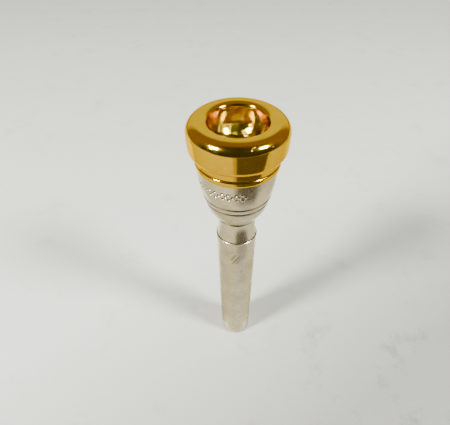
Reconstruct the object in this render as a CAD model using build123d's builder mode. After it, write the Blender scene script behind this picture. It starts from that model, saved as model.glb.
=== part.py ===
from build123d import *
import math
import os

# Trumpet mouthpiece standing on the tip of its shank. Millimetres, +Z up, axis on Z,
# origin at the centre of the tip.

# lengths along the axis, each one set by itself
shank_length = 48.4
ridge_height = 0.55
neck_length = 7.2
flare_length = 7.15
line_spacing = 2.05
cup_side_length = 8.85
bead_height = 2.0
skirt_length = 1.7
step_height = 0.3
band_rise = 2.3
band_height = 3.4
rim_dome_height = 3.4
bite_drop = 0.3
lip_drop = 1.5
inner_seam_drop = 5.5

# outer radii, from the tip upwards
tip_outer_radius = 4.85
shank_taper = 0.0248
tip_chamfer = 0.3
ridge_stand = 0.08
neck_wall = 1.75
neck_foot_flare = 0.18
line_step = 0.57
cup_side_flare = 1.08
bead_stand = 0.55
bead_inset = 0.15
line_depth = 0.16
line_width = 0.34

# rim
band_width = 1.5
rim_side_draft = 0.15
crest_width = 3.05
bite_width = 0.4
skirt_wall = 1.23
skirt_chamfer = 0.2
step_width = 0.45

# airway
cup_mouth_radius = 6.93
mouth_flare = 0.97
mouth_sag = 0.273
bowl_depth = 8.97
bowl_floor_radius = 3.1
bowl_sag = 0.435
throat_radius = 1.83
throat_lip = 4.33
throat_lip_sag = 0.25
throat_length = 5.0
tip_bore_radius = 4.15

# screw joints
lip_width = 3.27
rim_thread_pitch = 0.635
rim_thread_turns = 5
rim_thread_rise = 1.1
rim_relief_height = 0.4
shank_thread_radius = 3.97
shank_thread_pitch = 0.794
shank_thread_turns = 9
shank_thread_rise = 2.6
stem_pilot_length = 5.8
thread_clearance = 0.07
rim_seam_gap = 0.25
shank_seam_gap = 0.2

# sealing rings
seal_section_radius = 0.4
seal_clearance = 0.06

# heights that follow
tan_flank = math.tan(math.radians(30))
ridge_z = shank_length
neck_foot_z = ridge_z + shank_seam_gap
waist_top_z = ridge_z + neck_length
line_low_z = waist_top_z + flare_length
line_high_z = line_low_z + line_spacing
bead_low_z = line_high_z + cup_side_length
bead_high_z = bead_low_z + bead_height
rim_foot_z = bead_high_z + rim_seam_gap
step_low_z = rim_foot_z + skirt_length
step_high_z = step_low_z + step_height
band_low_z = step_high_z + band_rise
band_high_z = band_low_z + band_height
crest_z = band_high_z + rim_dome_height
bite_z = crest_z - bite_drop
lip_z = crest_z - lip_drop
inner_seam_z = crest_z - inner_seam_drop
bowl_floor_z = crest_z - bowl_depth
throat_top_z = bowl_floor_z - throat_lip
throat_foot_z = throat_top_z - throat_length

# radii and places that follow
rim_thread_radius = cup_mouth_radius + lip_width
rim_thread_depth = 0.45 * rim_thread_pitch
rim_thread_root = rim_thread_radius - rim_thread_depth
rim_bore_radius = rim_thread_root + thread_clearance
rim_relief_radius = rim_thread_radius + thread_clearance + 0.1
rim_thread_z = bead_high_z + rim_thread_rise
skirt_radius = rim_thread_radius + thread_clearance + skirt_wall
step_radius = skirt_radius + step_width
rim_outer_radius = step_radius + band_width
bead_radius = skirt_radius - bead_inset
cup_top_radius = bead_radius - bead_stand
line_high_radius = cup_top_radius - cup_side_flare
line_low_radius = line_high_radius - line_step
waist_top_radius = shank_thread_radius + neck_wall
neck_foot_radius = waist_top_radius + neck_foot_flare
rim_side_radius = rim_outer_radius - rim_side_draft
crest_radius = rim_outer_radius - crest_width
lip_radius = cup_mouth_radius + mouth_flare
bite_radius = lip_radius + bite_width
shank_thread_depth = 0.45 * shank_thread_pitch
shank_thread_root = shank_thread_radius - shank_thread_depth
neck_bore_radius = shank_thread_root + thread_clearance
shank_thread_z = ridge_z + shank_thread_rise
stem_top_z = shank_thread_z + shank_thread_turns * shank_thread_pitch + stem_pilot_length
ridge_radius = tip_outer_radius + shank_taper * shank_length
seal_groove_half = seal_section_radius + seal_clearance
rim_seal_radius = (cup_mouth_radius + rim_thread_root) / 2
rim_seal_z = inner_seam_z + seal_groove_half
shank_seal_radius = shank_thread_radius + seal_groove_half
shank_seal_z = ridge_z + seal_groove_half
seal_bore_radius = shank_seal_radius + seal_groove_half
seal_bore_top = ridge_z + 2 * seal_groove_half


def backbore_radius(z):
    along = (throat_foot_z - z) / throat_foot_z
    return throat_radius + (tip_bore_radius - throat_radius) * along


def tooth_outline(pitch, root, crest, spread, sink):
    # thread tooth seen in its own plane, its flanks carried a little below the root
    foot = 0.36 * pitch + tan_flank * spread
    tip = foot - tan_flank * (crest - root)
    base = foot + tan_flank * sink
    return [(root - sink, -base), (crest, -tip), (crest, tip), (root - sink, base)]


os.makedirs("parts", exist_ok=True)

# screw rim: a ring with the bite and crest on top and a threaded skirt below
with BuildPart() as screw_rim:
    with BuildSketch(Plane.XZ):
        with BuildLine():
            Polyline(
                (cup_mouth_radius, inner_seam_z),
                (rim_bore_radius, inner_seam_z),
                (rim_bore_radius, rim_foot_z + rim_relief_height),
                (rim_relief_radius, rim_foot_z + rim_relief_height),
                (rim_relief_radius, rim_foot_z),
                (skirt_radius - skirt_chamfer, rim_foot_z),
                (skirt_radius, rim_foot_z + skirt_chamfer),
                (skirt_radius, step_low_z),
                (step_radius, step_high_z),
            )
            SagittaArc((step_radius, step_high_z), (rim_side_radius, band_low_z), -0.35)
            SagittaArc((rim_side_radius, band_low_z), (rim_outer_radius, band_high_z), -0.05)
            SagittaArc((rim_outer_radius, band_high_z), (crest_radius, crest_z), -0.95)
            SagittaArc((crest_radius, crest_z), (bite_radius, bite_z), -0.12)
            SagittaArc((bite_radius, bite_z), (lip_radius, lip_z), -0.2)
            SagittaArc((lip_radius, lip_z), (cup_mouth_radius, inner_seam_z), mouth_sag)
        make_face()
    revolve(axis=Axis.Z)
    # groove in the seat for the sealing ring
    with BuildSketch(Plane.XY.offset(inner_seam_z)):
        Circle(rim_seal_radius + seal_groove_half)
        Circle(rim_seal_radius - seal_groove_half, mode=Mode.SUBTRACT)
    extrude(amount=2 * seal_groove_half, mode=Mode.SUBTRACT)
    # internal thread, open at the foot of the skirt
    lead_turns = math.ceil((rim_thread_z - rim_foot_z) / rim_thread_pitch)
    with BuildLine():
        rim_groove_path = Helix(
            rim_thread_pitch,
            (lead_turns + rim_thread_turns + 0.5) * rim_thread_pitch,
            rim_bore_radius,
            center=(0, 0, rim_thread_z - lead_turns * rim_thread_pitch),
        )
    with BuildSketch(
        Plane(origin=(0, 0, (rim_groove_path @ 0).Z), x_dir=(1, 0, 0), z_dir=rim_groove_path % 0)
    ):
        Polygon(
            *tooth_outline(
                rim_thread_pitch,
                rim_bore_radius,
                rim_thread_radius + thread_clearance,
                thread_clearance,
                0.05,
            ),
            align=None,
        )
    sweep(path=rim_groove_path, is_frenet=True, mode=Mode.SUBTRACT)
screw_rim.part.label = "screw_rim"
export_step(screw_rim.part, "parts/screw_rim.step")

# sealing ring held in the groove of the rim
with BuildPart() as rim_o_ring:
    with Locations((0, 0, rim_seal_z)):
        Torus(rim_seal_radius, seal_section_radius)
rim_o_ring.part.label = "rim_o_ring"
export_step(rim_o_ring.part, "parts/rim_o_ring.step")

# cup: bead, flared body and neck, with the bowl and the throat bored through it
with BuildPart() as cup_body:
    with BuildSketch(Plane.XZ):
        with BuildLine():
            Polyline(
                (seal_bore_radius, neck_foot_z),
                (neck_foot_radius, neck_foot_z),
            )
            SagittaArc((neck_foot_radius, neck_foot_z), (waist_top_radius, waist_top_z), 0.35)
            SagittaArc((waist_top_radius, waist_top_z), (line_low_radius, line_low_z), -0.5)
            SagittaArc((line_low_radius, line_low_z), (line_high_radius, line_high_z), -0.06)
            SagittaArc((line_high_radius, line_high_z), (cup_top_radius, bead_low_z), -0.35)
            Line((cup_top_radius, bead_low_z), (cup_top_radius + 0.2, bead_low_z + 0.05))
            SagittaArc(
                (cup_top_radius + 0.2, bead_low_z + 0.05), (bead_radius, bead_high_z), -0.4
            )
            Polyline(
                (bead_radius, bead_high_z),
                (rim_thread_root, bead_high_z),
                (rim_thread_root, inner_seam_z - 0.2),
                (rim_thread_root - 0.2, inner_seam_z),
                (cup_mouth_radius, inner_seam_z),
            )
            SagittaArc(
                (cup_mouth_radius, inner_seam_z), (bowl_floor_radius, bowl_floor_z), bowl_sag
            )
            SagittaArc(
                (bowl_floor_radius, bowl_floor_z), (throat_radius, throat_top_z), -throat_lip_sag
            )
            Polyline(
                (throat_radius, throat_top_z),
                (throat_radius, throat_foot_z),
                (backbore_radius(stem_top_z), stem_top_z),
                (neck_bore_radius, stem_top_z),
                (neck_bore_radius, seal_bore_top),
                (seal_bore_radius, seal_bore_top),
                (seal_bore_radius, neck_foot_z),
            )
        make_face()
    revolve(axis=Axis.Z)
    # the three turned lines around the outside
    for line_z, line_radius in (
        (line_high_z, line_high_radius),
        (line_low_z, line_low_radius),
        (waist_top_z, waist_top_radius),
    ):
        with BuildSketch(Plane.XZ):
            with BuildLine():
                Polyline(
                    (line_radius - line_depth, line_z),
                    (line_radius + line_depth, line_z + line_width),
                    (line_radius + line_depth, line_z - line_width),
                    close=True,
                )
            make_face()
        revolve(axis=Axis.Z, mode=Mode.SUBTRACT)
    # male thread at the top, under the rim
    with BuildLine():
        rim_tooth_path = Helix(
            rim_thread_pitch,
            rim_thread_turns * rim_thread_pitch,
            rim_thread_root,
            center=(0, 0, rim_thread_z),
        )
    with BuildSketch(
        Plane(origin=(0, 0, rim_thread_z), x_dir=(1, 0, 0), z_dir=rim_tooth_path % 0)
    ):
        Polygon(
            *tooth_outline(rim_thread_pitch, rim_thread_root, rim_thread_radius, 0, 0.05),
            align=None,
        )
    sweep(path=rim_tooth_path, is_frenet=True)
    # internal thread of the neck, open into the bore of the sealing ring
    neck_turns = math.ceil((shank_thread_z - seal_bore_top) / shank_thread_pitch) + 1
    with BuildLine():
        neck_groove_path = Helix(
            shank_thread_pitch,
            (neck_turns + shank_thread_turns + 0.5) * shank_thread_pitch,
            neck_bore_radius,
            center=(0, 0, shank_thread_z - neck_turns * shank_thread_pitch),
        )
    with BuildSketch(
        Plane(origin=(0, 0, (neck_groove_path @ 0).Z), x_dir=(1, 0, 0), z_dir=neck_groove_path % 0)
    ):
        Polygon(
            *tooth_outline(
                shank_thread_pitch,
                neck_bore_radius,
                shank_thread_radius + thread_clearance,
                thread_clearance,
                0.05,
            ),
            align=None,
        )
    sweep(path=neck_groove_path, is_frenet=True, mode=Mode.SUBTRACT)
cup_body.part.label = "cup_body"
export_step(cup_body.part, "parts/cup_body.step")

# sealing ring in the foot of the neck, around the stem of the shank
with BuildPart() as shank_o_ring:
    with Locations((0, 0, shank_seal_z)):
        Torus(shank_seal_radius, seal_section_radius)
shank_o_ring.part.label = "shank_o_ring"
export_step(shank_o_ring.part, "parts/shank_o_ring.step")

# shank: tapered outside, flared backbore inside, ridge and threaded stem on top
with BuildPart() as backbore_shank:
    with BuildSketch(Plane.XZ):
        with BuildLine():
            Polyline(
                (tip_bore_radius, 0),
                (tip_outer_radius - tip_chamfer, 0),
                (tip_outer_radius, tip_chamfer * 2),
                (ridge_radius - 0.05, ridge_z - ridge_height),
                (ridge_radius + 0.08, ridge_z - ridge_height + 0.1),
                (ridge_radius + 0.08, ridge_z - 0.1),
                (ridge_radius - 0.02, ridge_z),
                (shank_thread_root, ridge_z),
                (shank_thread_root, stem_top_z - 0.25),
                (shank_thread_root - 0.25, stem_top_z),
                (backbore_radius(stem_top_z), stem_top_z),
                (tip_bore_radius, 0),
            )
        make_face()
    revolve(axis=Axis.Z)
    with BuildLine():
        stem_tooth_path = Helix(
            shank_thread_pitch,
            shank_thread_turns * shank_thread_pitch,
            shank_thread_root,
            center=(0, 0, shank_thread_z),
        )
    with BuildSketch(
        Plane(origin=(0, 0, shank_thread_z), x_dir=(1, 0, 0), z_dir=stem_tooth_path % 0)
    ):
        Polygon(
            *tooth_outline(
                shank_thread_pitch, shank_thread_root, shank_thread_radius, 0, 0.05
            ),
            align=None,
        )
    sweep(path=stem_tooth_path, is_frenet=True)
backbore_shank.part.label = "backbore_shank"
export_step(backbore_shank.part, "parts/backbore_shank.step")
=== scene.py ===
import bpy
import math
from mathutils import Matrix, Vector


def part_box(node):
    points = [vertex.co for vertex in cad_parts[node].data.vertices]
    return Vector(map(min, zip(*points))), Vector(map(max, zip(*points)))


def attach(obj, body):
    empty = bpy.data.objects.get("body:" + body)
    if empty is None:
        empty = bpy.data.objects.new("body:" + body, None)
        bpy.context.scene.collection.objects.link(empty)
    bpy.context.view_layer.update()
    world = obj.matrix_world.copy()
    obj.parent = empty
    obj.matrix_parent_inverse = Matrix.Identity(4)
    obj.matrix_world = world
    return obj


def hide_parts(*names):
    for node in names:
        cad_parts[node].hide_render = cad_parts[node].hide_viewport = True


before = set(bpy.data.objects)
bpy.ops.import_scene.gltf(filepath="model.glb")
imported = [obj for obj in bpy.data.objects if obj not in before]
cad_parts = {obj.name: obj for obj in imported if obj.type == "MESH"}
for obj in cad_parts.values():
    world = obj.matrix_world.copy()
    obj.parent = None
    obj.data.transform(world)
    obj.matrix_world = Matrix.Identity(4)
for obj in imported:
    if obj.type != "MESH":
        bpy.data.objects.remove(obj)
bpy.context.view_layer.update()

mm = 0.001
# millimetres, and shares of an edge or of the thread's pitch
outlineStep = {"longest": 0.5, "cornerShare": 0.45, "cornerSteps": 4, "weldGap": 1e-4}
threadShape = {"reach": 0.36, "flank": 0.26}


def apart(a, b):
    return math.hypot(b[0] - a[0], b[1] - a[1])


def arcPoint(a, b, sag, t):
    # point on the arc from a to b that bulges by sag to the right of travel
    dx, dz = b[0] - a[0], b[1] - a[1]
    if abs(sag) < 1e-6:
        return (a[0] + dx * t, a[1] + dz * t)
    chord = apart(a, b)
    radius = (chord * chord / 4 + sag * sag) / (2 * abs(sag))
    half = math.asin(min(1, chord / 2 / radius))
    angle = -half + 2 * half * t
    along = radius * math.sin(angle) + chord / 2
    out = (radius * math.cos(angle) - radius * math.cos(half)) * (1 if sag > 0 else -1)
    ux, uz = dx / chord, dz / chord
    return (a[0] + ux * along + uz * out, a[1] + uz * along - ux * out)


def roundedCorner(before, key, after, tag):
    # the points between two stretches; the first half has the tag of the stretch before
    rows = []
    for j in range(1, outlineStep["cornerSteps"]):
        s = j / outlineStep["cornerSteps"]
        rows.append((
            before[0] * (1 - s) ** 2 + 2 * key[0] * s * (1 - s) + after[0] * s * s,
            before[1] * (1 - s) ** 2 + 2 * key[1] * s * (1 - s) + after[1] * s * s,
            tag if s < 0.5 else key[5],
        ))
    return rows


def closedOutline(keys):
    # keys are (radius, height, corner, sag to next, longest step or 0 for the usual one, tag)
    rows = []
    count = len(keys)
    share = outlineStep["cornerShare"]
    for i in range(count):
        a, b, c = keys[i], keys[(i + 1) % count], keys[(i + 2) % count]
        chord = apart(a, b)
        start = min(share, a[2] / chord)
        end = 1 - min(share, b[2] / chord)
        steps = max(1, int(math.ceil(chord * (end - start) / (a[4] or outlineStep["longest"]))))
        for j in range(steps + 1):
            rows.append(arcPoint(a, b, a[3], start + (end - start) * j / steps) + (a[5],))
        if b[2] > 0:
            before = arcPoint(a, b, a[3], end)
            after = arcPoint(b, c, b[3], min(share, b[2] / apart(b, c)))
            rows += roundedCorner(before, b, after, a[5])
    clean = []
    for row in rows:
        if not clean or apart(clean[-1], row) > outlineStep["weldGap"]:
            clean.append(row)
    if apart(clean[-1], clean[0]) < outlineStep["weldGap"]:
        clean.pop()
    return clean


def threadLift(z, angle, thread):
    # height of the tooth, or depth of the groove, from 0 to 1
    turn = (angle / (2 * math.pi)) % 1.0
    place = (z - thread["start"]) / thread["pitch"] - turn
    tooth = round(place)
    wound = tooth + turn
    if wound < thread["from"] or wound > thread["to"]:
        return 0.0
    off = abs(place - tooth) - thread["spread"] / thread["pitch"]
    return max(0.0, min(1.0, (threadShape["reach"] - off) / threadShape["flank"]))


def meshObject(name, verts, faces):
    mesh = bpy.data.meshes.new(name)
    mesh.from_pydata(verts, [], faces)
    obj = bpy.data.objects.new(name, mesh)
    bpy.context.scene.collection.objects.link(obj)
    return obj


def latheMesh(name, rows, angles, baseZ, shift, slots):
    # rows is a closed loop of (radius, height, tag); shift(radius, height, tag, angle) adds to the radius
    verts, faces, tags = [], [], []
    rowCount, columnCount = len(rows), len(angles)
    for r, z, tag in rows:
        for a in angles:
            shifted = r + shift(r, z, tag, a)
            verts.append((shifted * math.cos(a) * mm, shifted * math.sin(a) * mm, (z + baseZ) * mm))
    for i in range(rowCount):
        this, above = i * columnCount, (i + 1) % rowCount * columnCount
        for j in range(columnCount):
            k = (j + 1) % columnCount
            faces.append((this + j, this + k, above + k, above + j))
            tags.append(rows[i][2])
    obj = meshObject(name, verts, faces)
    obj.data.polygons.foreach_set("use_smooth", [True] * len(faces))
    obj.data.polygons.foreach_set("material_index", [slots.get(t, 0) for t in tags])
    obj.data.update()
    print(name, "rows", rowCount, "columns", columnCount)
    return obj


def evenAngles(count):
    return [2 * math.pi * j / count for j in range(count)]


def newGroup(name, inputs, outputs):
    group = bpy.data.node_groups.new(name, "ShaderNodeTree")
    for label, value in inputs:
        s = group.interface.new_socket(label, in_out="INPUT", socket_type="NodeSocketFloat")
        s.default_value = value
    for label in outputs:
        group.interface.new_socket(label, in_out="OUTPUT", socket_type="NodeSocketFloat")
    return group, group.nodes.new("NodeGroupInput"), group.nodes.new("NodeGroupOutput")


def mathNode(tree, operation, a, b=None, c=None):
    node = tree.nodes.new("ShaderNodeMath")
    node.operation = operation
    for i, v in enumerate((a, b, c)):
        if isinstance(v, (int, float)):
            node.inputs[i].default_value = v
        elif v is not None:
            tree.links.new(v, node.inputs[i])
    return node.outputs[0]


def rampRange(tree, value, low, high, outLow=0.0, outHigh=1.0):
    node = tree.nodes.new("ShaderNodeMapRange")
    node.inputs["From Min"].default_value = low
    node.inputs["From Max"].default_value = high
    node.inputs["To Min"].default_value = outLow
    node.inputs["To Max"].default_value = outHigh
    tree.links.new(value, node.inputs["Value"])
    return node.outputs["Result"]


def millimetreCoords(tree, stretch=(1, 1, 1), turn=(0, 0, 0)):
    coords = tree.nodes.new("ShaderNodeTexCoord")
    scale = tree.nodes.new("ShaderNodeMapping")
    scale.inputs["Scale"].default_value = [1000 * s for s in stretch]
    scale.inputs["Rotation"].default_value = turn
    tree.links.new(coords.outputs["Object"], scale.inputs["Vector"])
    return scale.outputs["Vector"]


def noiseOut(tree, vector, scale, detail=4.0, rough=0.55):
    n = tree.nodes.new("ShaderNodeTexNoise")
    n.inputs["Detail"].default_value = detail
    n.inputs["Roughness"].default_value = rough
    tree.links.new(vector, n.inputs["Vector"])
    if isinstance(scale, (int, float)):
        n.inputs["Scale"].default_value = scale
    else:
        tree.links.new(scale, n.inputs["Scale"])
    return n.outputs["Fac"]


# tarnish: cloudy patches and small pits in the plating
tarnishShape = {
    "patchScale": 0.22, "patchEdge": (0.38, 0.72), "pitEdge": (0.16, 0.07),
    "clusterScale": 0.35, "clusterEdge": (0.52, 0.64),
}


def makeTarnish(p):
    inputs = [("Size", 1.0), ("Amount", 0.5), ("Pits", 0.5), ("Grain", 1.15)]
    group, gin, gout = newGroup("platingTarnish", inputs, ["Cloud", "Pit"])
    vec = millimetreCoords(group)
    scale = mathNode(group, "DIVIDE", p["patchScale"], gin.outputs["Size"])
    cloud = rampRange(group, noiseOut(group, vec, scale, 5, 0.6), *p["patchEdge"])
    group.links.new(mathNode(group, "MULTIPLY", cloud, gin.outputs["Amount"]), gout.inputs["Cloud"])
    pits = group.nodes.new("ShaderNodeTexVoronoi")
    group.links.new(gin.outputs["Grain"], pits.inputs["Scale"])
    group.links.new(vec, pits.inputs["Vector"])
    spot = rampRange(group, pits.outputs["Distance"], *p["pitEdge"])
    cluster = rampRange(group, noiseOut(group, vec, p["clusterScale"], 2), *p["clusterEdge"])
    pit = mathNode(group, "MULTIPLY", spot, cluster)
    group.links.new(mathNode(group, "MULTIPLY", pit, gin.outputs["Pits"]), gout.inputs["Pit"])
    return group


# lathe marks: fine rings round the axis, uneven from place to place
def makeLatheMarks():
    group, gin, gout = newGroup("latheMarks", [("Rings", 6.0), ("Depth", 0.5)], ["Height"])
    alongAxis = (0.02, 0.02, 1)
    rings = noiseOut(group, millimetreCoords(group, alongAxis), gin.outputs["Rings"], 3, 0.7)
    group.links.new(mathNode(group, "MULTIPLY", rings, gin.outputs["Depth"]), gout.inputs["Height"])
    return group


# scratches: long thin lines at three slants, broken up by noise
scratchShape = {
    "slants": (((0.3, 0.5, 0.4), 0.57), ((-0.5, 0.2, -0.7), 0.6), ((0.1, -0.7, 1.2), 0.6)),
    "stretch": (3.2, 3.2, 0.16), "scale": 0.42, "edge": (0.022, 0.004), "breakScale": 0.3, "breakSoft": 0.05,
}


def makeScratches(p):
    group, gin, gout = newGroup("handlingScratches", [("Amount", 0.5), ("Thin", 1.0)], ["Line"])
    total = None
    for turn, least in p["slants"]:
        vec = millimetreCoords(group, (1, 1, 1), turn)
        stretch = group.nodes.new("ShaderNodeMapping")
        stretch.inputs["Scale"].default_value = p["stretch"]
        group.links.new(vec, stretch.inputs["Vector"])
        cells = group.nodes.new("ShaderNodeTexVoronoi")
        cells.feature = "DISTANCE_TO_EDGE"
        cells.inputs["Scale"].default_value = p["scale"]
        group.links.new(stretch.outputs["Vector"], cells.inputs["Vector"])
        edge = mathNode(group, "DIVIDE", cells.outputs["Distance"], gin.outputs["Thin"])
        line = rampRange(group, edge, *p["edge"])
        keep = rampRange(group, noiseOut(group, vec, p["breakScale"], 2), least, least + p["breakSoft"])
        both = mathNode(group, "MULTIPLY", line, keep)
        total = both if total is None else mathNode(group, "MAXIMUM", total, both)
    group.links.new(mathNode(group, "MULTIPLY", total, gin.outputs["Amount"]), gout.inputs["Line"])
    return group


# single marks on the front: each is (across, height, lean in degrees, length, width, strength)
markShape = {
    "wanderScale": 1.6, "wander": 0.5, "frontEdge": (-1.5, -2.5), "core": 0.25, "fullLength": 0.32,
    "breakScale": 2.6, "breakEdge": (0.36, 0.52), "breakLeast": 0.35,
}


def makeMarks(name, marks, p):
    group, _, gout = newGroup(name, [], ["Mark"])
    vec = millimetreCoords(group)
    place = group.nodes.new("ShaderNodeSeparateXYZ")
    group.links.new(vec, place.inputs["Vector"])
    wander = mathNode(group, "SUBTRACT", noiseOut(group, vec, p["wanderScale"], 3), 0.5)
    across = mathNode(group, "MULTIPLY_ADD", wander, p["wander"], place.outputs["X"])
    front = rampRange(group, place.outputs["Y"], *p["frontEdge"])
    total = None
    for x, z, lean, length, width, strength in marks:
        c, s = math.cos(math.radians(lean)), math.sin(math.radians(lean))
        dx = mathNode(group, "SUBTRACT", across, x)
        dz = mathNode(group, "SUBTRACT", place.outputs["Z"], z)
        along = mathNode(group, "MULTIPLY_ADD", dz, s, mathNode(group, "MULTIPLY", dx, c))
        off = mathNode(group, "MULTIPLY_ADD", dx, -s, mathNode(group, "MULTIPLY", dz, c))
        near = rampRange(group, mathNode(group, "ABSOLUTE", off), width, width * p["core"], 0.0, strength)
        ends = rampRange(group, mathNode(group, "ABSOLUTE", along), length / 2, length * p["fullLength"])
        one = mathNode(group, "MULTIPLY", near, ends)
        total = one if total is None else mathNode(group, "MAXIMUM", total, one)
    broken = rampRange(group, noiseOut(group, vec, p["breakScale"], 3), *p["breakEdge"], p["breakLeast"], 1.0)
    total = mathNode(group, "MULTIPLY", mathNode(group, "MULTIPLY", total, broken), front)
    group.links.new(total, gout.inputs["Mark"])
    return group


tarnishGroup = makeTarnish(tarnishShape)
latheGroup = makeLatheMarks()
scratchGroup = makeScratches(scratchShape)


def useGroup(tree, group, **values):
    node = tree.nodes.new("ShaderNodeGroup")
    node.node_tree = group
    for key, value in values.items():
        node.inputs[key].default_value = value
    return node


def mixColor(tree, fac, a, b, mode="MIX"):
    node = tree.nodes.new("ShaderNodeMix")
    node.data_type = "RGBA"
    node.blend_type = mode
    if isinstance(fac, (int, float)):
        node.inputs[0].default_value = fac
    else:
        tree.links.new(fac, node.inputs[0])
    for index, value in ((6, a), (7, b)):
        if isinstance(value, (tuple, list)):
            node.inputs[index].default_value = (*value, 1)
        else:
            tree.links.new(value, node.inputs[index])
    return node.outputs[2]


def newMaterial(name):
    mat = bpy.data.materials.new(name)
    mat.use_nodes = True
    return mat, mat.node_tree, mat.node_tree.nodes["Principled BSDF"]


def addBump(tree, shader, height, strength, distance):
    bump = tree.nodes.new("ShaderNodeBump")
    bump.inputs["Strength"].default_value = strength
    bump.inputs["Distance"].default_value = distance
    tree.links.new(height, bump.inputs["Height"])
    tree.links.new(bump.outputs["Normal"], shader.inputs["Normal"])


# how far pits and scratches change the plating that they lie in
wear = {"scratchTint": 0.6, "pitRough": 0.25, "scratchRough": 0.15, "pitDepth": 0.5, "reliefDepth": 0.00003}


def platedMetal(name, look, marks=None):
    mat, tree, shader = newMaterial(name)
    shader.inputs["Metallic"].default_value = 1.0
    shader.inputs["Specular Tint"].default_value = (*look["edge"], 1)
    tarnish = useGroup(tree, tarnishGroup, Size=look["cloudSize"], Amount=look["cloud"], Pits=look["pits"],
                       Grain=look["grain"])
    rings = useGroup(tree, latheGroup, Rings=look["rings"], Depth=look["ringDepth"])
    scratch = useGroup(tree, scratchGroup, Amount=look["scratch"], Thin=look["thin"])
    cloud, pit, line = tarnish.outputs["Cloud"], tarnish.outputs["Pit"], scratch.outputs["Line"]
    color = mixColor(tree, cloud, look["color"], look["cloudColor"])
    color = mixColor(tree, pit, color, look["pitColor"])
    color = mixColor(tree, mathNode(tree, "MULTIPLY", line, wear["scratchTint"]), color, look["scratchColor"])
    if marks:
        spots = useGroup(tree, makeMarks(name + "Marks", marks, markShape))
        color = mixColor(tree, spots.outputs["Mark"], color, look["markColor"])
    tree.links.new(color, shader.inputs["Base Color"])
    rough = mathNode(tree, "MULTIPLY_ADD", cloud, look["roughSpread"], look["rough"])
    rough = mathNode(tree, "ADD", rough, mathNode(tree, "MULTIPLY", pit, wear["pitRough"]))
    rough = mathNode(tree, "ADD", rough, mathNode(tree, "MULTIPLY", line, wear["scratchRough"]))
    tree.links.new(rough, shader.inputs["Roughness"])
    scratchCut = mathNode(tree, "MULTIPLY", line, look["scratchDepth"])
    pitCut = mathNode(tree, "MULTIPLY", pit, wear["pitDepth"])
    height = mathNode(tree, "SUBTRACT", rings.outputs["Height"], scratchCut)
    height = mathNode(tree, "SUBTRACT", height, pitCut)
    addBump(tree, shader, height, look["bump"], wear["reliefDepth"])
    return mat


goldLook = {
    "color": (0.80, 0.50, 0.012), "cloudColor": (0.68, 0.39, 0.008), "cloud": 0.5, "cloudSize": 1.0,
    "pits": 0.25, "grain": 1.15, "pitColor": (0.40, 0.20, 0.03), "rings": 5.0, "ringDepth": 0.5,
    "scratch": 0.7, "thin": 1.0, "scratchColor": (0.98, 0.74, 0.3), "scratchDepth": 0.8,
    "rough": 0.09, "roughSpread": 0.08, "bump": 0.22, "edge": (1.0, 0.72, 0.25),
}
bowlLook = dict(
    goldLook, color=(0.90, 0.66, 0.008), cloudColor=(0.66, 0.42, 0.002), cloud=1.0, cloudSize=0.3,
    pits=1.0, grain=3.2, ringDepth=1.0, rough=0.07, roughSpread=0.05, bump=0.6, edge=(1.0, 0.7, 0.1),
)
silverLook = {
    "color": (0.74, 0.685, 0.485), "cloudColor": (0.42, 0.375, 0.255), "cloud": 0.6, "cloudSize": 1.4,
    "pits": 0.7, "grain": 1.15, "pitColor": (0.22, 0.18, 0.13), "markColor": (0.07, 0.055, 0.035),
    "rings": 5.0, "ringDepth": 0.6,
    "scratch": 0.7, "thin": 1.0, "scratchColor": (0.30, 0.26, 0.20), "scratchDepth": 1.0,
    "rough": 0.25, "roughSpread": 0.12, "bump": 0.4, "edge": (1.0, 0.98, 0.92),
}
goldPlate = platedMetal("goldPlate", goldLook)
goldBowl = platedMetal("goldBowl", bowlLook)
shankMarks = [
    (-1.1, 42.3, 62, 3.6, 0.32, 0.8), (-0.3, 41.2, 58, 4.8, 0.30, 0.95), (0.4, 40.6, 60, 2.8, 0.26, 0.8),
    (-1.6, 44.6, 20, 2.0, 0.5, 0.35), (1.5, 35.6, 75, 1.4, 0.28, 0.7), (1.9, 33.8, 40, 0.8, 0.25, 0.5),
    (-0.8, 14.6, 30, 0.7, 0.25, 0.75), (1.1, 13.4, 85, 1.3, 0.22, 0.7), (-2.6, 25.0, 70, 1.0, 0.2, 0.4),
    (2.4, 20.2, 10, 0.8, 0.2, 0.4), (0.3, 8.6, 50, 0.8, 0.2, 0.5), (-1.8, 5.4, 15, 1.2, 0.2, 0.45),
]
cupMarks = [
    (-2.0, 59.6, 68, 3.6, 0.13, 0.6), (3.4, 58.8, 72, 2.6, 0.11, 0.4), (-4.6, 61.9, 20, 1.2, 0.14, 0.4),
    (5.2, 66.4, 35, 1.6, 0.12, 0.35), (1.6, 52.0, 12, 1.5, 0.18, 0.35), (-2.4, 50.6, 60, 1.0, 0.2, 0.35),
]
silverPlate = platedMetal("silverPlate", silverLook, cupMarks)
silverShank = platedMetal("silverShank", dict(silverLook, cloud=0.75, pits=0.9), shankMarks)
# painted shade: near-black silver for the turned grooves, the cup's foot, the shank's ridge step and the
# deepest punches, standing in for shade in these recesses
recessShadeLook = dict(
    silverLook, color=(0.09, 0.07, 0.045), cloudColor=(0.04, 0.03, 0.02), rough=0.45, scratch=0.2,
)
paintedRecessShade = platedMetal("paintedRecessShade", recessShadeLook)
# painted shade: dark gold on the faces where the rim meets the cup, standing in for shade in the joint
seamShadeLook = dict(
    goldLook, color=(0.22, 0.12, 0.012), cloudColor=(0.12, 0.06, 0.006), rough=0.4, scratch=0.2,
)
paintedSeamShade = platedMetal("paintedSeamShade", seamShadeLook)
print("plating materials made")

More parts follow.
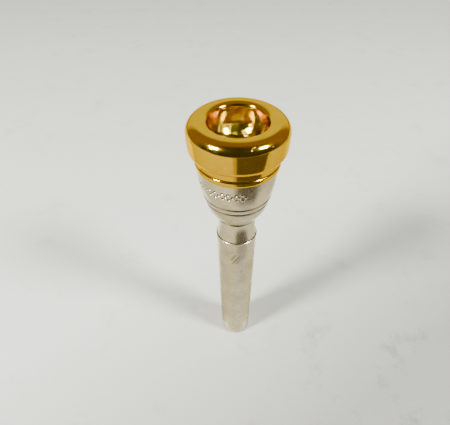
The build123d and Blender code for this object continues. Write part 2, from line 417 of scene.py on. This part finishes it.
screwRim = {
    "relief": 10.37, "skirt": 11.50, "step": 11.95, "side": 13.30, "outer": 13.45, "crest": 10.40,
    "bite": 8.30, "lip": 7.90, "mouth": 6.93, "mouthSag": 0.273, "bore": 9.984,
    "sealLow": 7.962, "sealHigh": 8.882, "sealTall": 0.92, "biteDrop": 0.3, "lipDrop": 1.5,
    "stepLow": 1.7, "stepHigh": 2.0, "bandLow": 4.3, "bandHigh": 7.7, "seat": 5.6, "reliefTop": 0.4,
    "top": 11.1, "columns": 240,
    "thread": {"start": 0.85, "pitch": 0.635, "from": -2, "to": 5.5, "spread": 0.04, "depth": 0.286},
}


def buildRim(p):
    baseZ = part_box("screw_rim")[0][2] * 1000
    top = p["top"]
    keys = [
        (p["relief"], 0.0, 0.05, 0, 0, "seam"),
        (p["skirt"] - 0.2, 0.0, 0.06, 0, 0, "skirt"),
        (p["skirt"], 0.2, 0.1, 0, 0.3, "skirt"),
        (p["skirt"], p["stepLow"], 0.08, 0, 0.2, "skirt"),
        (p["step"], p["stepHigh"], 0.12, 0.35, 0.12, "band"),
        (p["side"], p["bandLow"], 0.5, 0.05, 0.15, "band"),
        (p["outer"], p["bandHigh"], 0.6, 0.95, 0.1, "band"),
        (p["crest"], top, 0.5, 0.12, 0.08, "band"),
        (p["bite"], top - p["biteDrop"], 0.25, 0.2, 0.08, "band"),
        (p["lip"], top - p["lipDrop"], 0.3, -p["mouthSag"], 0.12, "bowl"),
        (p["mouth"], p["seat"], 0.04, 0, 0, "seat"),
        (p["sealLow"], p["seat"], 0.04, 0, 0, "seat"),
        (p["sealLow"], p["seat"] + p["sealTall"], 0.05, 0, 0, "seat"),
        (p["sealHigh"], p["seat"] + p["sealTall"], 0.05, 0, 0, "seat"),
        (p["sealHigh"], p["seat"], 0.04, 0, 0, "seat"),
        (p["bore"], p["seat"], 0.04, 0, 0.06, "thread"),
        (p["bore"], p["reliefTop"], 0, 0, 0, "skirt"),
        (p["relief"], p["reliefTop"], 0.04, 0, 0, "skirt"),
    ]
    rows = closedOutline(keys)

    def cutThread(r, z, tag, a):
        return threadLift(z, a, p["thread"]) * p["thread"]["depth"] if tag == "thread" else 0.0

    # the rim's underside face takes the dark gold as painted shade in the joint
    obj = latheMesh("rimShell", rows, evenAngles(p["columns"]), baseZ, cutThread, {"bowl": 1, "seam": 2})
    for mat in (goldPlate, goldBowl, paintedSeamShade):
        obj.data.materials.append(mat)
    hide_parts("screw_rim")
    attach(obj, "rim")
    return obj


rimShell = buildRim(screwRim)

cupBody = {
    "foot": 5.90, "waist": 5.72, "lineLow": 9.15, "lineHigh": 9.72, "top": 10.80, "bead": 11.35,
    "waistZ": 7.0, "lineLowZ": 14.15, "lineHighZ": 16.2, "beadLowZ": 25.05, "beadHighZ": 27.05,
    "seatZ": 32.9, "collar": 9.914, "mouth": 6.93,
    "bowlFloor": 3.1, "bowlFloorZ": 29.43, "bowlSag": 0.435, "throat": 1.83, "throatTopZ": 25.1,
    "throatFootZ": 20.1, "stemTop": 1.99, "stemTopZ": 15.346, "neckBore": 3.683,
    "sealBore": 4.89, "sealTopZ": 0.72, "lineCut": 0.3, "lineHalf": 0.32,
    "rimThread": {"start": 28.15, "pitch": 0.635, "from": 0, "to": 5, "spread": 0.0, "depth": 0.286},
    "neckThread": {"start": 2.4, "pitch": 0.794, "from": -4, "to": 9.5, "spread": 0.04, "depth": 0.357},
}
ornament = {
    "startAngle": -178.0, "endAngle": -77.0, "lowZ": 19.3, "highZ": 23.9, "middleZ": 21.55,
    "depth": 0.26, "burr": 0.1, "burrPlace": 1.35, "burrWidth": 0.3, "pitch": 3.7, "spread": 0.8, "dot": 0.34,
    "endFade": 0.4, "edgeFade": 0.3, "fineStep": 0.55, "coarseStep": 2.0, "shadeDepth": 0.1,
}


def ornamentDepth(u, v, o):
    # a row of rosettes, five punches in each, with a single punch between them; u runs along the row, v is up
    x = u - (math.floor(u / o["pitch"]) + 0.5) * o["pitch"]
    w, between = o["spread"], o["pitch"] / 2
    punches = [(0, 0), (w, w), (-w, w), (w, -w), (-w, -w), (between, 0), (-between, 0)]
    nearest = min(apart(punch, (x, v)) for punch in punches) / o["dot"]
    burr = math.exp(-((nearest - o["burrPlace"]) / o["burrWidth"]) ** 2)
    return -o["depth"] * math.exp(-nearest ** 3) + o["burr"] * burr


def cupShift(r, z, tag, a, p, o):
    # the threads, and the rosettes on the side, faded out at the ends and edges of their band
    if tag in ("rimThread", "neckThread"):
        return threadLift(z, a, p[tag]) * p[tag]["depth"]
    deg = math.degrees(a)
    if tag != "side" or not o["lowZ"] < z < o["highZ"] or not o["startAngle"] < deg < o["endAngle"]:
        return 0.0
    u = math.radians(deg - o["startAngle"]) * r
    total = math.radians(o["endAngle"] - o["startAngle"]) * r
    ends = min((total - u) / o["endFade"], u / o["endFade"])
    edges = min((z - o["lowZ"]) / o["edgeFade"], (o["highZ"] - z) / o["edgeFade"])
    return ornamentDepth(u, z - o["middleZ"], o) * max(0, min(1, ends, edges))


def cupAngles(o):
    # close together under the rosettes, wider apart round the rest
    degrees = []
    deg = o["startAngle"]
    while deg < o["endAngle"]:
        degrees.append(deg)
        deg += o["fineStep"]
    while deg < o["startAngle"] + 360 - o["coarseStep"] * 0.4:
        degrees.append(deg)
        deg += o["coarseStep"]
    return [math.radians(v) for v in degrees]


def buildCup(p, o):
    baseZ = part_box("cup_body")[0][2] * 1000
    cut, half = p["lineCut"], p["lineHalf"]
    # the rows in the turned grooves and on the foot take a near-black material as painted shade
    keys = [
        (p["sealBore"], 0.0, 0.05, 0, 0, "grime"),
        (p["foot"], 0.0, 0.12, -0.35, 0.25, "silver"),
        (p["waist"] - 0.02, p["waistZ"] - half, 0.04, 0, 0, "grime"),
        (p["waist"] - cut, p["waistZ"], 0.02, 0, 0, "grime"),
        (p["waist"] + 0.09, p["waistZ"] + half, 0.06, 0.5, 0.18, "silver"),
        (p["lineLow"] - 0.05, p["lineLowZ"] - half, 0.05, 0, 0, "grime"),
        (p["lineLow"] - cut, p["lineLowZ"], 0.02, 0, 0, "grime"),
        (p["lineLow"] + 0.05, p["lineLowZ"] + half, 0.05, 0.05, 0.2, "silver"),
        (p["lineHigh"] - 0.04, p["lineHighZ"] - half, 0.05, 0, 0, "grime"),
        (p["lineHigh"] - cut, p["lineHighZ"], 0.02, 0, 0, "grime"),
        (p["lineHigh"] + 0.04, p["lineHighZ"] + half, 0.05, 0.34, 0.1, "side"),
        (p["top"], p["beadLowZ"], 0.06, 0, 0, "gold"),
        (p["top"] + 0.2, p["beadLowZ"] + 0.05, 0.1, 0.4, 0.1, "gold"),
        (p["bead"], p["beadHighZ"], 0.18, 0, 0, "seam"),
        (p["collar"], p["beadHighZ"], 0.06, 0, 0.06, "rimThread"),
        (p["collar"], p["seatZ"] - 0.2, 0, 0, 0, "gold"),
        (p["collar"] - 0.2, p["seatZ"], 0, 0, 0, "gold"),
        (p["mouth"], p["seatZ"], 0.04, -p["bowlSag"], 0.1, "bowl"),
        (p["bowlFloor"], p["bowlFloorZ"], 0.35, 0.25, 0.1, "bowl"),
        (p["throat"], p["throatTopZ"], 0.3, 0, 0, "bowl"),
        (p["throat"], p["throatFootZ"], 0.3, 0, 0, "silver"),
        (p["stemTop"], p["stemTopZ"], 0, 0, 0, "silver"),
        (p["neckBore"], p["stemTopZ"], 0.05, 0, 0.08, "neckThread"),
        (p["neckBore"], p["sealTopZ"], 0.0, 0, 0, "silver"),
        (p["sealBore"], p["sealTopZ"], 0.05, 0, 0, "silver"),
    ]
    rows = closedOutline(keys)
    angles = cupAngles(o)
    depths = []

    def shift(r, z, tag, a):
        depths.append(cupShift(r, z, tag, a, p, o))
        return depths[-1]

    obj = latheMesh("cupShell", rows, angles, baseZ, shift,
                    {"gold": 1, "rimThread": 1, "bowl": 2, "silver": 0, "side": 0, "grime": 3, "seam": 4})
    for mat in (silverPlate, goldPlate, goldBowl, paintedRecessShade, paintedSeamShade):
        obj.data.materials.append(mat)
    # painted shade: rosette faces cut deeper than the set depth take the near-black groove material too
    for face in obj.data.polygons:
        corner = face.vertices[0]
        if depths[corner] < -o["shadeDepth"] and rows[corner // len(angles)][2] == "side":
            face.material_index = 3
    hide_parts("cup_body")
    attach(obj, "cup")
    return obj


cupShell = buildCup(cupBody, ornament)

shankTube = {
    "tip": 4.85, "ridge": 6.05, "ridgeZ": 48.4, "ridgeHeight": 0.55, "tipBore": 4.15, "tipChamfer": 0.3,
    "stem": 3.613, "stemTopZ": 63.946, "stemBore": 1.99, "columns": 200,
    "thread": {"start": 51.0, "pitch": 0.794, "from": 0, "to": 9, "spread": 0.0, "depth": 0.357},
}


def buildShank(p):
    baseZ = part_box("backbore_shank")[0][2] * 1000
    ridgeFoot = p["ridgeZ"] - p["ridgeHeight"]
    # the rows at the foot and top of the ridge take a near-black material as painted shade
    keys = [
        (p["tipBore"], 0.0, 0.08, 0, 0, "tip"),
        (p["tip"] - p["tipChamfer"], 0.0, 0.15, 0, 0, "tip"),
        (p["tip"], p["tipChamfer"] * 2, 0.3, 0, 0.5, "outside"),
        (p["ridge"] - 0.05, ridgeFoot, 0.05, 0, 0, "grime"),
        (p["ridge"] + 0.08, ridgeFoot + 0.1, 0.06, 0, 0, "outside"),
        (p["ridge"] + 0.08, p["ridgeZ"] - 0.1, 0.05, 0, 0, "outside"),
        (p["ridge"] - 0.02, p["ridgeZ"], 0.04, 0, 0, "grime"),
        (p["stem"], p["ridgeZ"], 0.05, 0, 0.08, "thread"),
        (p["stem"], p["stemTopZ"] - 0.25, 0, 0, 0, "stem"),
        (p["stem"] - 0.25, p["stemTopZ"], 0.05, 0, 0, "stem"),
        (p["stemBore"], p["stemTopZ"], 0.05, 0, 1.0, "bore"),
    ]
    rows = closedOutline(keys)

    def wind(r, z, tag, a):
        return threadLift(z, a, p["thread"]) * p["thread"]["depth"] if tag == "thread" else 0.0

    obj = latheMesh("shankShell", rows, evenAngles(p["columns"]), baseZ, wind, {"grime": 1})
    obj.data.materials.append(silverShank)
    obj.data.materials.append(paintedRecessShade)
    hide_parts("backbore_shank")
    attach(obj, "shank")
    return obj


shankShell = buildShank(shankTube)

rubberLook = {
    "color": (0.012, 0.012, 0.012), "grainColor": (0.03, 0.028, 0.026), "grainScale": 6.0,
    "rough": (0.45, 0.7), "bump": 0.3, "reliefDepth": 0.00002,
}


def rubberMaterial(look):
    mat, tree, shader = newMaterial("sealRubber")
    grain = noiseOut(tree, millimetreCoords(tree), look["grainScale"], 4)
    tree.links.new(mixColor(tree, grain, look["color"], look["grainColor"]), shader.inputs["Base Color"])
    tree.links.new(rampRange(tree, grain, 0.3, 0.7, *look["rough"]), shader.inputs["Roughness"])
    addBump(tree, shader, grain, look["bump"], look["reliefDepth"])
    return mat


sealRubber = rubberMaterial(rubberLook)
for ring in ("rim_o_ring", "shank_o_ring"):
    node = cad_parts[ring]
    if node.material_slots:
        node.material_slots[0].material = sealRubber
    else:
        node.data.materials.append(sealRubber)
print("pieces made")

studio = {
    "floorColor": (0.70, 0.72, 0.66), "floorSize": 6.0, "shadeSlant": -0.7, "shadeSpan": (-60, 45),
    "shadeRange": (0.42, 1.0), "streakEdge": (0.55, 0.72), "streakDepth": 0.16, "paperSpread": (0.96, 1.03),
    "lampDistance": 0.75, "leftSize": 0.15, "leftPower": 14.7, "rightSize": 0.19, "rightPower": 12.6,
    "lampRight": (0.70, -0.36, 0.72), "lampLeft": (-0.70, -0.42, 0.72),
    "lampColor": (1.0, 0.985, 0.95), "lampAim": (0, 0, 0.05),
    "sky": (0.80, 0.80, 0.77), "highSky": (0.25, 0.155, 0.07), "frontSky": (0.045, 0.04, 0.03),
    "frontEdge": (-0.25, 0.1), "backEdge": (0.64, 0.78),
    "skyPower": 1.25, "skyOnFloor": 0.09, "backdrop": (0.64, 0.65, 0.62), "backdropPower": 0.9,
}


def buildFloor(s):
    half = s["floorSize"] / 2
    corners = [(-half, -half, 0), (half, -half, 0), (half, half, 0), (-half, half, 0)]
    obj = meshObject("paperFloor", corners, [(0, 1, 2, 3)])
    mat, tree, shader = newMaterial("paperSheet")
    shader.inputs["Roughness"].default_value = 0.75
    shader.inputs["Specular IOR Level"].default_value = 0.25
    vec = millimetreCoords(tree)
    base = s["floorColor"]
    cloud = noiseOut(tree, vec, 0.012, 3)
    dull, pale = (tuple(c * share for c in base) for share in s["paperSpread"])
    paper = mixColor(tree, cloud, dull, pale)
    place = tree.nodes.new("ShaderNodeSeparateXYZ")
    tree.links.new(vec, place.inputs["Vector"])
    # painted shade: the floor's colour darkens towards the front and right, standing in for the lamps'
    # falloff; faint streaks in the paper are subtracted as well
    slope = mathNode(tree, "MULTIPLY_ADD", place.outputs["X"], s["shadeSlant"], place.outputs["Y"])
    fall = rampRange(tree, slope, *s["shadeSpan"], *s["shadeRange"])
    streaks = rampRange(tree, noiseOut(tree, vec, 0.05, 6, 0.75), *s["streakEdge"], 0.0, s["streakDepth"])
    fall = mathNode(tree, "SUBTRACT", fall, streaks)
    shade = tree.nodes.new("ShaderNodeCombineColor")
    for channel in ("Red", "Green", "Blue"):
        tree.links.new(fall, shade.inputs[channel])
    shaded = mixColor(tree, 1.0, paper, shade.outputs["Color"], "MULTIPLY")
    tree.links.new(shaded, shader.inputs["Base Color"])
    obj.data.materials.append(mat)


def addLamp(name, direction, size, power, s):
    data = bpy.data.lights.new(name, "AREA")
    data.shape = "DISK"
    data.size = size
    data.energy = power
    data.color = s["lampColor"]
    lamp = bpy.data.objects.new(name, data)
    bpy.context.scene.collection.objects.link(lamp)
    way = Vector(direction).normalized()
    lamp.location = way * s["lampDistance"] + Vector(s["lampAim"])
    lamp.rotation_euler = way.to_track_quat("Z", "Y").to_euler()


def addSheet(name, corners, height, color):
    # painted reflection: a dark or warm patch close above the floor that shows only in reflections, standing
    # in for shade on the floor in front
    obj = meshObject(name, [(x, y, height) for x, y in corners], [tuple(range(len(corners)))])
    mat, tree, shader = newMaterial(name + "Cloth")
    shader.inputs["Roughness"].default_value = 1.0
    shader.inputs["Specular IOR Level"].default_value = 0.0
    sheetMottle = noiseOut(tree, millimetreCoords(tree), 0.1, 3)
    tree.links.new(mixColor(tree, sheetMottle, color, tuple(c * 1.8 for c in color)), shader.inputs["Base Color"])
    obj.data.materials.append(mat)
    obj.visible_camera = False
    obj.visible_diffuse = False
    obj.visible_shadow = False


def buildWorld(s):
    # dark in front, warm above and bright behind for reflections; plain and pale where it is seen itself
    world = bpy.data.worlds.new("softRoom")
    bpy.context.scene.world = world
    world.use_nodes = True
    tree = world.node_tree
    back = tree.nodes["Background"]
    coords = tree.nodes.new("ShaderNodeTexCoord")
    parts = tree.nodes.new("ShaderNodeSeparateXYZ")
    tree.links.new(coords.outputs["Generated"], parts.inputs["Vector"])
    high = rampRange(tree, parts.outputs["Y"], *s["frontEdge"])
    behind = rampRange(tree, parts.outputs["Y"], *s["backEdge"])
    room = mixColor(tree, behind, mixColor(tree, high, s["frontSky"], s["highSky"]), s["sky"])
    path = tree.nodes.new("ShaderNodeLightPath")
    seen = path.outputs["Is Camera Ray"]
    tree.links.new(mixColor(tree, seen, room, s["backdrop"]), back.inputs["Color"])
    fall = rampRange(tree, path.outputs["Is Diffuse Ray"], 0.0, 1.0, s["skyPower"], s["skyOnFloor"])
    lessWhenSeen = rampRange(tree, seen, 0.0, 1.0, 0.0, s["skyPower"] - s["backdropPower"])
    tree.links.new(mathNode(tree, "SUBTRACT", fall, lessWhenSeen), back.inputs["Strength"])


buildFloor(studio)
buildWorld(studio)
addLamp("lampRight", studio["lampRight"], studio["rightSize"], studio["rightPower"], studio)
addLamp("lampLeft", studio["lampLeft"], studio["leftSize"], studio["leftPower"], studio)

# each sheet is a name, a height above the floor, a colour and its corners; together they are painted shade, a
# darker floor seen only in reflections
nearLeft, nearRight = (-0.0035, -0.052), (0.044, -0.026)
farLeft, farRight = (-0.042, -0.60), (0.53, -0.28)
floorSheets = [
    ("warmShadeSheet", 0.0003, (0.25, 0.232, 0.178), (
        (-0.6, -0.6), (0.6, -0.6), (0.6, 0.25), (0.009, 0.003), (0.0065, -0.0055),
        (-0.0065, -0.0055), (-0.009, 0.003), (-0.6, 0.25),
    )),
    ("shadeSheetLeft", 0.0006, (0.15, 0.13, 0.10), (nearLeft, farLeft, (-0.13, -0.60), (-0.0085, -0.05))),
    ("darkShadeSheet", 0.0006, (0.03, 0.025, 0.02), (nearLeft, nearRight, farRight, (0.35, -0.60), farLeft)),
    ("shadeSheetEdge", 0.0006, (0.22, 0.21, 0.2), (nearRight, (0.049, -0.018), (0.56, -0.17), farRight)),
    ("dimShadeSheet", 0.0005, (0.24, 0.23, 0.22), ((-0.003, -0.009), (0.008, -0.007), nearRight, nearLeft)),
]
for name, height, color, corners in floorSheets:
    addSheet(name, corners, height, color)

cameraPlace = {"location": (-0.00348, -0.0981, 0.1444), "pitch": 42.1, "roll": -0.5, "lens": 36.0,
               "sensor": 36.0, "nearest": 0.005}


def addCamera(c):
    data = bpy.data.cameras.new("benchCamera")
    data.lens = c["lens"]
    data.sensor_width = c["sensor"]
    data.clip_start = c["nearest"]
    cam = bpy.data.objects.new("viewCamera", data)
    bpy.context.scene.collection.objects.link(cam)
    tilt = Matrix.Rotation(math.radians(90 - c["pitch"]), 4, "X")
    roll = Matrix.Rotation(math.radians(c["roll"]), 4, "Z")
    cam.matrix_world = Matrix.Translation(c["location"]) @ tilt @ roll
    bpy.context.scene.camera = cam


addCamera(cameraPlace)
print("stage and camera set")
